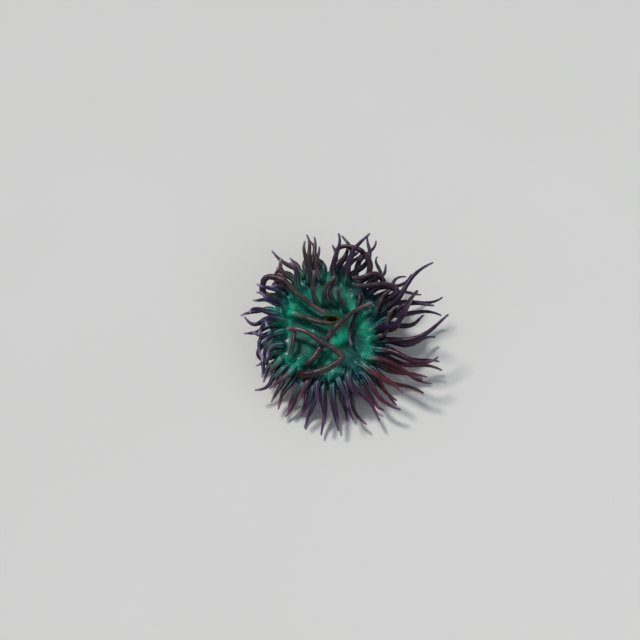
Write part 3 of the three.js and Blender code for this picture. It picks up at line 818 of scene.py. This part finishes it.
def relax_joins(mesh):
    """Softens the skin near the lines where one tentacle's surface meets another's or the body's."""
    points = read(mesh.vertices, "co", 3).astype(float)
    edges = read(mesh.edges, "vertices", 2, np.int32)
    owner = read(mesh.attributes["owner"].data, "value", 1, np.int32)
    edge_of = read(mesh.loops, "edge_index", 1, np.int32)
    face_of = np.repeat(np.arange(len(mesh.polygons)), read(mesh.polygons, "loop_total", 1, np.int32))
    low = np.full(len(edges), 10**6)
    high = np.full(len(edges), -1)
    np.minimum.at(low, edge_of, owner[face_of])
    np.maximum.at(high, edge_of, owner[face_of])
    join = np.unique(edges[low != high])
    tree = kdtree.KDTree(len(join))
    for number, vertex in enumerate(join):
        tree.insert(points[vertex], number)
    tree.balance()
    reach = RELAXED * MM
    near = np.array([tree.find(p)[2] for p in points])
    weight = 1 - smooth(near, 0.3 * reach, reach)
    some = np.nonzero(weight[edges].max(1) > 0)[0]
    a, b = edges[some, 0], edges[some, 1]
    count = np.bincount(edges[some].ravel(), minlength=len(points))
    for _ in range(RELAX_ROUNDS):
        total = np.zeros_like(points)
        np.add.at(total, a, points[b])
        np.add.at(total, b, points[a])
        mean = total / np.maximum(count, 1)[:, None]
        move = (mean - points) * (0.5 * weight)[:, None]
        points += np.where((count > 0)[:, None], move, 0)
    points[:, 2] = np.maximum(points[:, 2], 0)
    mesh.vertices.foreach_set("co", points.astype(np.float32).ravel())
    mesh.update()


def make_skin():
    tentacles = long_tentacles()
    roots = np.array([t["points"][0] for t in tentacles])
    tentacles += row_tentacles(roots)
    settle(tentacles)
    sizes = {n: (chart_width(t), t["length"] + ROOT_DEPTH + t["tip"]) for n, t in enumerate(tentacles, 1)}
    sizes["disc"] = (2 * DISC_CHART, 2 * DISC_CHART)
    sizes["foot"] = (2 * FOOT_CHART, 2 * FOOT_CHART)
    sizes["column"] = (COLUMN_STRIP, COLUMN_STRIP_HEIGHT)
    charts = Charts(sizes)

    surface = Surface()
    body_surface(surface, charts)
    skin = surface.to_object("anemone_skin")
    batches = []
    for group in apart_groups(tentacles):
        surface = Surface()
        for n in group:
            tentacle_surface(surface, charts, tentacles[n], n + 1)
        batches.append(surface.to_object(f"batch_{len(batches)}"))
    union(skin, batches)
    drop_crumbs(skin.data)
    relax_joins(skin.data)
    skin.data.shade_smooth()
    return skin


# ---------- the look

STREAKS = 15.0  # of the disc, from the mouth outwards: about six times as many go all the way round
STREAK_CHANGES = 15.0  # along them, from the throat to the foot
DISC_LINES = 106  # fine lines round the rim
ROOT_LINES = 6  # and round a tentacle
RINGS = 5.2  # of fine wrinkles round a tentacle, in radians a millimetre
VERDANT_SIDE = 145
PALE_SIDE = 172
PURPLE_SIDE = 28
HOOK_SIDE = 240
LIP_CORNER_SIDE = 328
# Painted pools of light, where the disc is painted brightest: the side, the cosine where that begins, and
# the bands.
PAINTED_LIGHT_POOLS = [(302, 0.7, 0.24, 0.30), (19, 0.8, 0.35, 0.43), (150, 0.8, 0.44, 0.52)]


def srgb(red, green, blue):
    """A colour given in 0 to 255 as Blender's linear one."""
    def linear(c):
        c /= 255
        return c / 12.92 if c <= 0.04045 else ((c + 0.055) / 1.055) ** 2.4

    return (linear(red), linear(green), linear(blue), 1.0)


class Nodes:
    """Short names for the shader nodes of a material or a world."""

    def __init__(self, owner):
        owner.use_nodes = True
        self.tree = owner.node_tree
        self.tree.nodes.clear()

    def add(self, kind, inputs=(), output=0, **settings):
        node = self.tree.nodes.new("ShaderNode" + kind)
        for key, value in settings.items():
            setattr(node, key, value)
        for key, value in dict(inputs).items():
            if isinstance(value, bpy.types.NodeSocket):
                self.tree.links.new(value, node.inputs[key])
            else:
                node.inputs[key].default_value = value
        return node.outputs[output] if node.outputs else node

    def attribute(self, name):
        vector = self.add("Attribute", output="Vector", attribute_name=name)
        split = self.add("SeparateXYZ", {0: vector}).node
        return split.outputs["X"], split.outputs["Y"], split.outputs["Z"]

    def math(self, operation, a, b=0.0, c=0.0):
        return self.add("Math", {0: a, 1: b, 2: c}, operation=operation)

    def times(self, a, b):
        return self.math("MULTIPLY", a, b)

    def plus(self, a, b):
        return self.math("ADD", a, b)

    def minus(self, a, b):
        return self.math("SUBTRACT", a, b)

    def scaled(self, x, factor, start):
        return self.math("MULTIPLY_ADD", x, factor, start)

    def ease(self, x, low, high, at_low=0.0, at_high=1.0):
        inputs = {"Value": x, "From Min": low, "From Max": high, "To Min": at_low, "To Max": at_high}
        return self.add("MapRange", inputs, interpolation_type="SMOOTHSTEP")

    def between(self, x, low, high, edge):
        """1 from low to high, easing to 0 over an edge at each end."""
        rise = self.ease(x, low - edge, low + edge)
        return self.times(rise, self.ease(x, high - edge, high + edge, 1, 0))

    def towards(self, angle, degrees, low, high):
        """1 where an angle faces an azimuth, easing to 0 away from it, between two cosines."""
        return self.ease(self.math("COSINE", self.minus(angle, math.radians(degrees))), low, high)

    def noise(self, scale, detail=2.0, roughness=0.5, vector=None):
        at = vector or self.add("TexCoord", output="Object")
        inputs = {"Vector": at, "Scale": scale, "Detail": detail, "Roughness": roughness}
        return self.add("TexNoise", inputs)

    def mix(self, share, a, b, blend="MIX"):
        return self.add("Mix", {0: share, 6: a, 7: b}, output=2, data_type="RGBA", blend_type=blend)

    def blend(self, share, a, b):
        return self.add("Mix", {0: share, 2: a, 3: b}, data_type="FLOAT")

    def ramp(self, x, *stops):
        node = self.add("ValToRGB", {0: x}).node
        elements = node.color_ramp.elements
        while len(elements) < len(stops):
            elements.new(0.5)
        for element, (position, colour) in zip(elements, stops):
            element.position = position
            element.color = srgb(*colour)
        return node.outputs["Color"]

    def vector(self, x, y, z):
        return self.add("CombineXYZ", {0: x, 1: y, 2: z})

    def round_vector(self, angle, radius, height):
        """A point on a cylinder, by which a noise runs round without a seam."""
        x = self.times(self.math("COSINE", angle), radius)
        return self.vector(x, self.times(self.math("SINE", angle), radius), height)

    def brightened(self, colour, factor):
        return self.mix(1.0, colour, self.vector(factor, factor, factor), "MULTIPLY")


def read_place(n):
    """Where on the animal a point of the skin is, as the mesh carries it.

    band is the place in the bands of colour, for a tentacle that of its root. arc and share are the
    distance along a tentacle, in millimetres and as a share. On the body, share is how much is wart.
    past_green is the distance as a share of the tentacle's green root.
    """
    at = SimpleNamespace()
    at.band, at.arc, at.share = n.attribute("where")
    azimuth, around, at.on_tentacle = n.attribute("turn")
    at.hue, at.light, at.long_one = n.attribute("tone")
    at.angle = n.times(azimuth, TURN)
    at.around = n.times(around, TURN)
    at.verdant = n.towards(at.angle, VERDANT_SIDE, -0.2, 0.8)
    hang = n.towards(at.angle, HANGING_SIDE, 0, 0.85)
    green_run = n.plus(n.scaled(hang, 16.0, 15.0), n.times(at.verdant, 8.0))
    at.past_green = n.math("DIVIDE", at.arc, n.blend(at.long_one, green_run, 22.0))
    return at


def band_colours(n, at):
    """The bands from the throat to the foot, shifted by blotches so that no border is an even circle."""
    greener = n.times(n.between(at.band, 0.5, 0.64, 0.03), n.times(at.verdant, 0.055))
    wander = n.minus(n.times(n.minus(n.noise(90, 3, 0.6), 0.5), 0.07), greener)
    shifted = n.plus(at.band, n.times(wander, n.ease(at.band, 0.14, 0.2)))
    bands = n.ramp(
        shifted,
        (0.00, (66, 30, 16)), (0.055, (96, 54, 24)), (0.095, (74, 88, 26)), (0.135, (26, 96, 50)),
        (0.18, (4, 92, 75)), (0.40, (6, 95, 86)), (0.51, (9, 83, 85)), (0.585, (12, 48, 62)),
        (0.63, (34, 34, 58)), (0.72, (78, 50, 62)), (0.84, (116, 70, 62)), (0.93, (160, 84, 56)),
        (1.00, (180, 112, 80)),
    )
    return bands, n.between(shifted, 0.17, 0.54, 0.04)


def body_colour(n, at):
    """The bands, with streaks from the mouth outwards, painted pools of light and a brown corner of the
    lips.
    """
    bands, on_disc = band_colours(n, at)
    streak = n.noise(1.0, 3, 0.6, n.round_vector(at.angle, STREAKS, n.times(at.band, STREAK_CHANGES)))
    streaks_and_painted_light = n.plus(n.times(streak, 0.38), n.times(n.noise(34, 2, 0.5), 0.62))
    # painted light: a few pools where the disc is painted brighter, as if lit there, added to its own
    # streaks and random tone
    for side, nearness, low, high in PAINTED_LIGHT_POOLS:
        painted_light_pool = n.times(n.towards(at.angle, side, nearness, 1.0), n.between(at.band, low, high, 0.05))
        streaks_and_painted_light = n.scaled(painted_light_pool, 0.31, streaks_and_painted_light)
    vivid = n.mix(n.ease(streaks_and_painted_light, 0.40, 0.74), srgb(8, 62, 60), srgb(4, 176, 138))
    colour = n.mix(n.times(on_disc, 0.8), bands, vivid)
    on_lips = n.between(at.band, 0.125, 0.19, 0.03)
    lip_corner = n.times(n.towards(at.angle, LIP_CORNER_SIDE, 0.55, 1.0), on_lips)
    return n.mix(n.times(lip_corner, n.ease(streak, 0.3, 0.6, 0.45, 0.9)), colour, srgb(76, 42, 26))


def pale_lines_and_painted_highlights(n, at):
    """Fine pale lines that run out over the rim and on along the tentacles, furthest where they hang:
    those on the rim are the animal's own, those along the tentacles are partly painted highlights.
    """
    bent = n.plus(n.times(at.angle, DISC_LINES), n.times(n.noise(60, 2), 8.0))
    wave = n.math("SINE", n.blend(at.on_tentacle, bent, n.times(at.around, ROOT_LINES)))
    line = n.math("POWER", n.scaled(wave, 0.5, 0.5), 4.0)
    on_body = n.times(n.between(at.band, 0.49, 0.64, 0.06), n.ease(n.noise(140, 2), 0.35, 0.65, 0.3, 1.0))
    fading = n.times(n.ease(at.past_green, 0.2, 1.2, 1, 0), n.ease(at.arc, 1.0, 5.0, 0.3, 1.0))
    on_root = n.times(fading, n.minus(1.0, at.long_one))
    return n.times(line, n.blend(at.on_tentacle, on_body, on_root))


def row_colour(n, at):
    """The rows change colour round the crown, and are palest at the tips, most of all on one side."""
    colour = n.ramp(
        at.hue,
        (0.00, (38, 18, 54)), (0.10, (37, 22, 52)), (0.20, (58, 40, 64)), (0.30, (76, 56, 54)),
        (0.42, (46, 42, 78)), (0.55, (54, 36, 68)), (0.64, (90, 42, 54)), (0.76, (60, 40, 82)),
        (0.87, (100, 40, 40)), (0.94, (62, 24, 44)), (1.00, (38, 18, 54)),
    )
    shade = n.times(n.scaled(at.light, 0.5, 0.75), n.ease(at.share, 0.2, 0.95, 0.72, 1.15))
    at_side = n.scaled(n.towards(at.angle, PALE_SIDE, 0.1, 0.9), 0.6, 0.25)
    paleness = n.times(n.ease(at.share, 0.74, 1.0), at_side)
    return n.mix(paleness, n.brightened(colour, shade), srgb(168, 152, 182))


def long_colour(n, at):
    """The long tentacles are brown, with olive, red and purple places, and pale roots near the mouth."""
    colour = n.ramp(
        at.share,
        (0.0, (46, 26, 36)), (0.2, (52, 42, 48)), (0.8, (64, 50, 56)), (1.0, (124, 98, 104)),
    )
    midway = n.times(n.between(at.share, 0.28, 0.85, 0.1), 0.75)
    olive = n.times(n.ease(n.noise(55, 2), 0.48, 0.62), midway)
    colour = n.mix(olive, colour, srgb(76, 76, 64))
    ruddy = n.times(n.ease(n.noise(70, 3), 0.52, 0.66), 0.8)
    colour = n.mix(ruddy, colour, srgb(74, 34, 44))
    purple = n.times(n.towards(at.angle, PURPLE_SIDE, 0.5, 0.9), 0.6)
    colour = n.mix(purple, colour, srgb(50, 28, 48))
    pale_root = n.times(n.ease(at.band, 0.48, 0.54, 1, 0), n.ease(at.share, 0.1, 0.5, 1, 0))
    return n.mix(n.times(pale_root, at.verdant), colour, srgb(70, 100, 86))


def fibres(n, at):
    """Fibres along the tentacles, paler and darker by turns, different on each."""
    along_it = n.plus(n.times(at.arc, 0.14), n.times(at.light, 60.0))
    return n.ease(n.noise(1.0, 3, 0.6, n.round_vector(at.around, 1.9, along_it)), 0.34, 0.66, 0.72, 1.34)


def hook_root_and_painted_shade(n, at):
    """The dark red place where the hooked tentacle leaves the rim, on the tentacle and on the rim: partly
    the root's own dark red, partly painted shade under the root.
    """
    on_hook = n.times(n.ease(at.band, 0.50, 0.53), n.ease(at.share, 0.07, 0.27, 1, 0))
    on_hook = n.times(n.times(at.long_one, on_hook), n.ease(at.arc, -2.0, 6.0))
    on_body = n.math("MAXIMUM", n.minus(0.8, at.on_tentacle), 0.0)
    on_rim = n.times(n.between(at.band, 0.53, 0.565, 0.035), on_body)
    return n.times(n.towards(at.angle, HOOK_SIDE, 0.984, 0.997), n.plus(on_hook, on_rim))


def paint_skin(material):
    n = Nodes(material)
    at = read_place(n)
    mottle = n.noise(420, 4, 0.65)
    grain = n.noise(1500, 3, 0.6)
    fibre = fibres(n, at)
    lines = pale_lines_and_painted_highlights(n, at)

    flesh = n.brightened(n.mix(at.long_one, row_colour(n, at), long_colour(n, at)), fibre)
    from_root = n.times(at.on_tentacle, n.ease(at.past_green, 0.1, 0.8))
    colour = n.mix(from_root, body_colour(n, at), flesh)
    # the hook's dark red root, deepened by painted shade on it and on the rim beside it
    colour = n.mix(n.times(hook_root_and_painted_shade(n, at), 0.94), colour, srgb(44, 10, 18))
    # pale lines: the animal's own on the rim, partly painted highlights along the tentacles' roots
    colour = n.mix(n.times(lines, 0.66), colour, srgb(112, 172, 172))
    wart = n.times(n.minus(1.0, at.on_tentacle), n.ease(at.share, 0.3, 0.8))
    colour = n.mix(n.times(wart, 0.7), colour, srgb(196, 176, 160))
    colour = n.brightened(colour, n.scaled(n.minus(mottle, 0.5), 0.45, 1.0))

    rings = n.math("SINE", n.plus(n.times(at.arc, RINGS), n.times(mottle, 14.0)))
    wrinkles = n.times(n.plus(n.times(rings, 0.06), n.times(fibre, 0.45)), at.on_tentacle)
    height = n.plus(n.plus(wrinkles, n.times(lines, 0.6)), n.times(grain, 0.5))
    shader = n.add("BsdfPrincipled", {
        "Base Color": colour,
        "Roughness": n.ease(mottle, 0.3, 0.7, 0.36, 0.54),
        "Normal": n.add("Bump", {"Strength": 0.5, "Distance": 0.0003, "Height": height}),
        "Subsurface Weight": 0.18,
        "Subsurface Radius": (1.0, 0.55, 0.45),
        "Subsurface Scale": 0.0018,
        "Specular IOR Level": 0.24,
        "Coat Weight": 0.13,
        "Coat Roughness": 0.16,
    })
    n.add("OutputMaterial", {"Surface": shader})


def make_material(name, painter):
    material = bpy.data.materials.new(name)
    painter(material)
    return material


FLOOR_RADIUS = 8.0  # in metres, as the lights' places are
FLOOR_HEIGHT = -0.0002  # just under the foot


def paint_floor(material):
    n = Nodes(material)
    tone = n.mix(n.noise(3, 2), srgb(224, 224, 220), srgb(229, 228, 225))
    n.add("OutputMaterial", {"Surface": n.add("BsdfPrincipled", {"Base Color": tone, "Roughness": 0.8})})


def add_floor():
    bpy.ops.mesh.primitive_circle_add(vertices=96, radius=FLOOR_RADIUS, fill_type="NGON")
    floor = bpy.context.object
    floor.name = "floor"
    floor.location.z = FLOOR_HEIGHT
    floor.data.materials.append(make_material("floor", paint_floor))


def put_light(light, place_at, strength, colour):
    """Puts a light in its place, turned to the animal."""
    light.energy = strength
    light.color = colour
    lamp = add_object(light.name, light)
    lamp.location = place_at
    lamp.rotation_euler = (LOOKED_AT - Vector(place_at)).to_track_quat("-Z", "Y").to_euler()


def add_lights():
    """A broad, distant key light, which lights the floor evenly to its edge, and a soft fill."""
    key = bpy.data.lights.new("key", "SUN")
    key.angle = math.radians(11)
    put_light(key, (-0.95, 0.95, 2.0), 2.1, (1.0, 0.98, 0.95))
    fill = bpy.data.lights.new("fill", "AREA")
    fill.shape = "DISK"
    fill.size = 1.6
    put_light(fill, (1.8, -1.3, 1.6), 8, (0.92, 0.96, 1.0))


# ---------- the camera, as the photograph's

FRAME = 640  # in pixels, as the next three
FOCAL = 580.0
SEEN_RIGHT = 8.0  # of the frame's middle, where the middle of the disc is seen
SEEN_BELOW = 6.0
DISC_MIDDLE = Vector((2.0, -4.0, 52.0))
DISTANCE = 725.0
ELEVATION = math.radians(62)
SENSOR = 36.0

RIGHT = Vector((1, 0, 0))
BACK = Vector((0, -math.cos(ELEVATION), math.sin(ELEVATION)))
UP = Vector((0, math.sin(ELEVATION), math.cos(ELEVATION)))
PER_PIXEL = DISTANCE / FOCAL
LOOKED_AT = (DISC_MIDDLE + (UP * SEEN_BELOW - RIGHT * SEEN_RIGHT) * PER_PIXEL) * MM


def add_camera():
    data = bpy.data.cameras.new("camera")
    data.sensor_width = SENSOR
    data.lens = SENSOR * FOCAL / FRAME
    data.clip_start = 0.01
    camera = add_object("camera", data)
    turned = Matrix((RIGHT, UP, BACK)).transposed().to_4x4()
    camera.matrix_world = Matrix.Translation(LOOKED_AT + BACK * DISTANCE * MM) @ turned
    bpy.context.scene.camera = camera


def add_world():
    """Dim, cool light from all round, before a backdrop as pale as the floor."""
    world = bpy.data.worlds.new("studio")
    bpy.context.scene.world = world
    n = Nodes(world)
    light = n.add("Background", {"Color": (0.80, 0.88, 1.0, 1), "Strength": 0.27})
    backdrop = n.add("Background", {"Color": (0.98, 1.0, 1.0, 1), "Strength": 0.575})
    seen = n.add("LightPath", output="Is Camera Ray")
    n.add("OutputWorld", {"Surface": n.add("MixShader", {0: seen, 1: light, 2: backdrop})})


# ---------- putting it together

add_camera()
add_world()
add_lights()
add_floor()
bpy.context.scene.view_settings.view_transform = "Standard"

skin = make_skin()
skin.data.materials.clear()
skin.data.materials.append(make_material("anemone_skin", paint_skin))
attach(skin, "root")
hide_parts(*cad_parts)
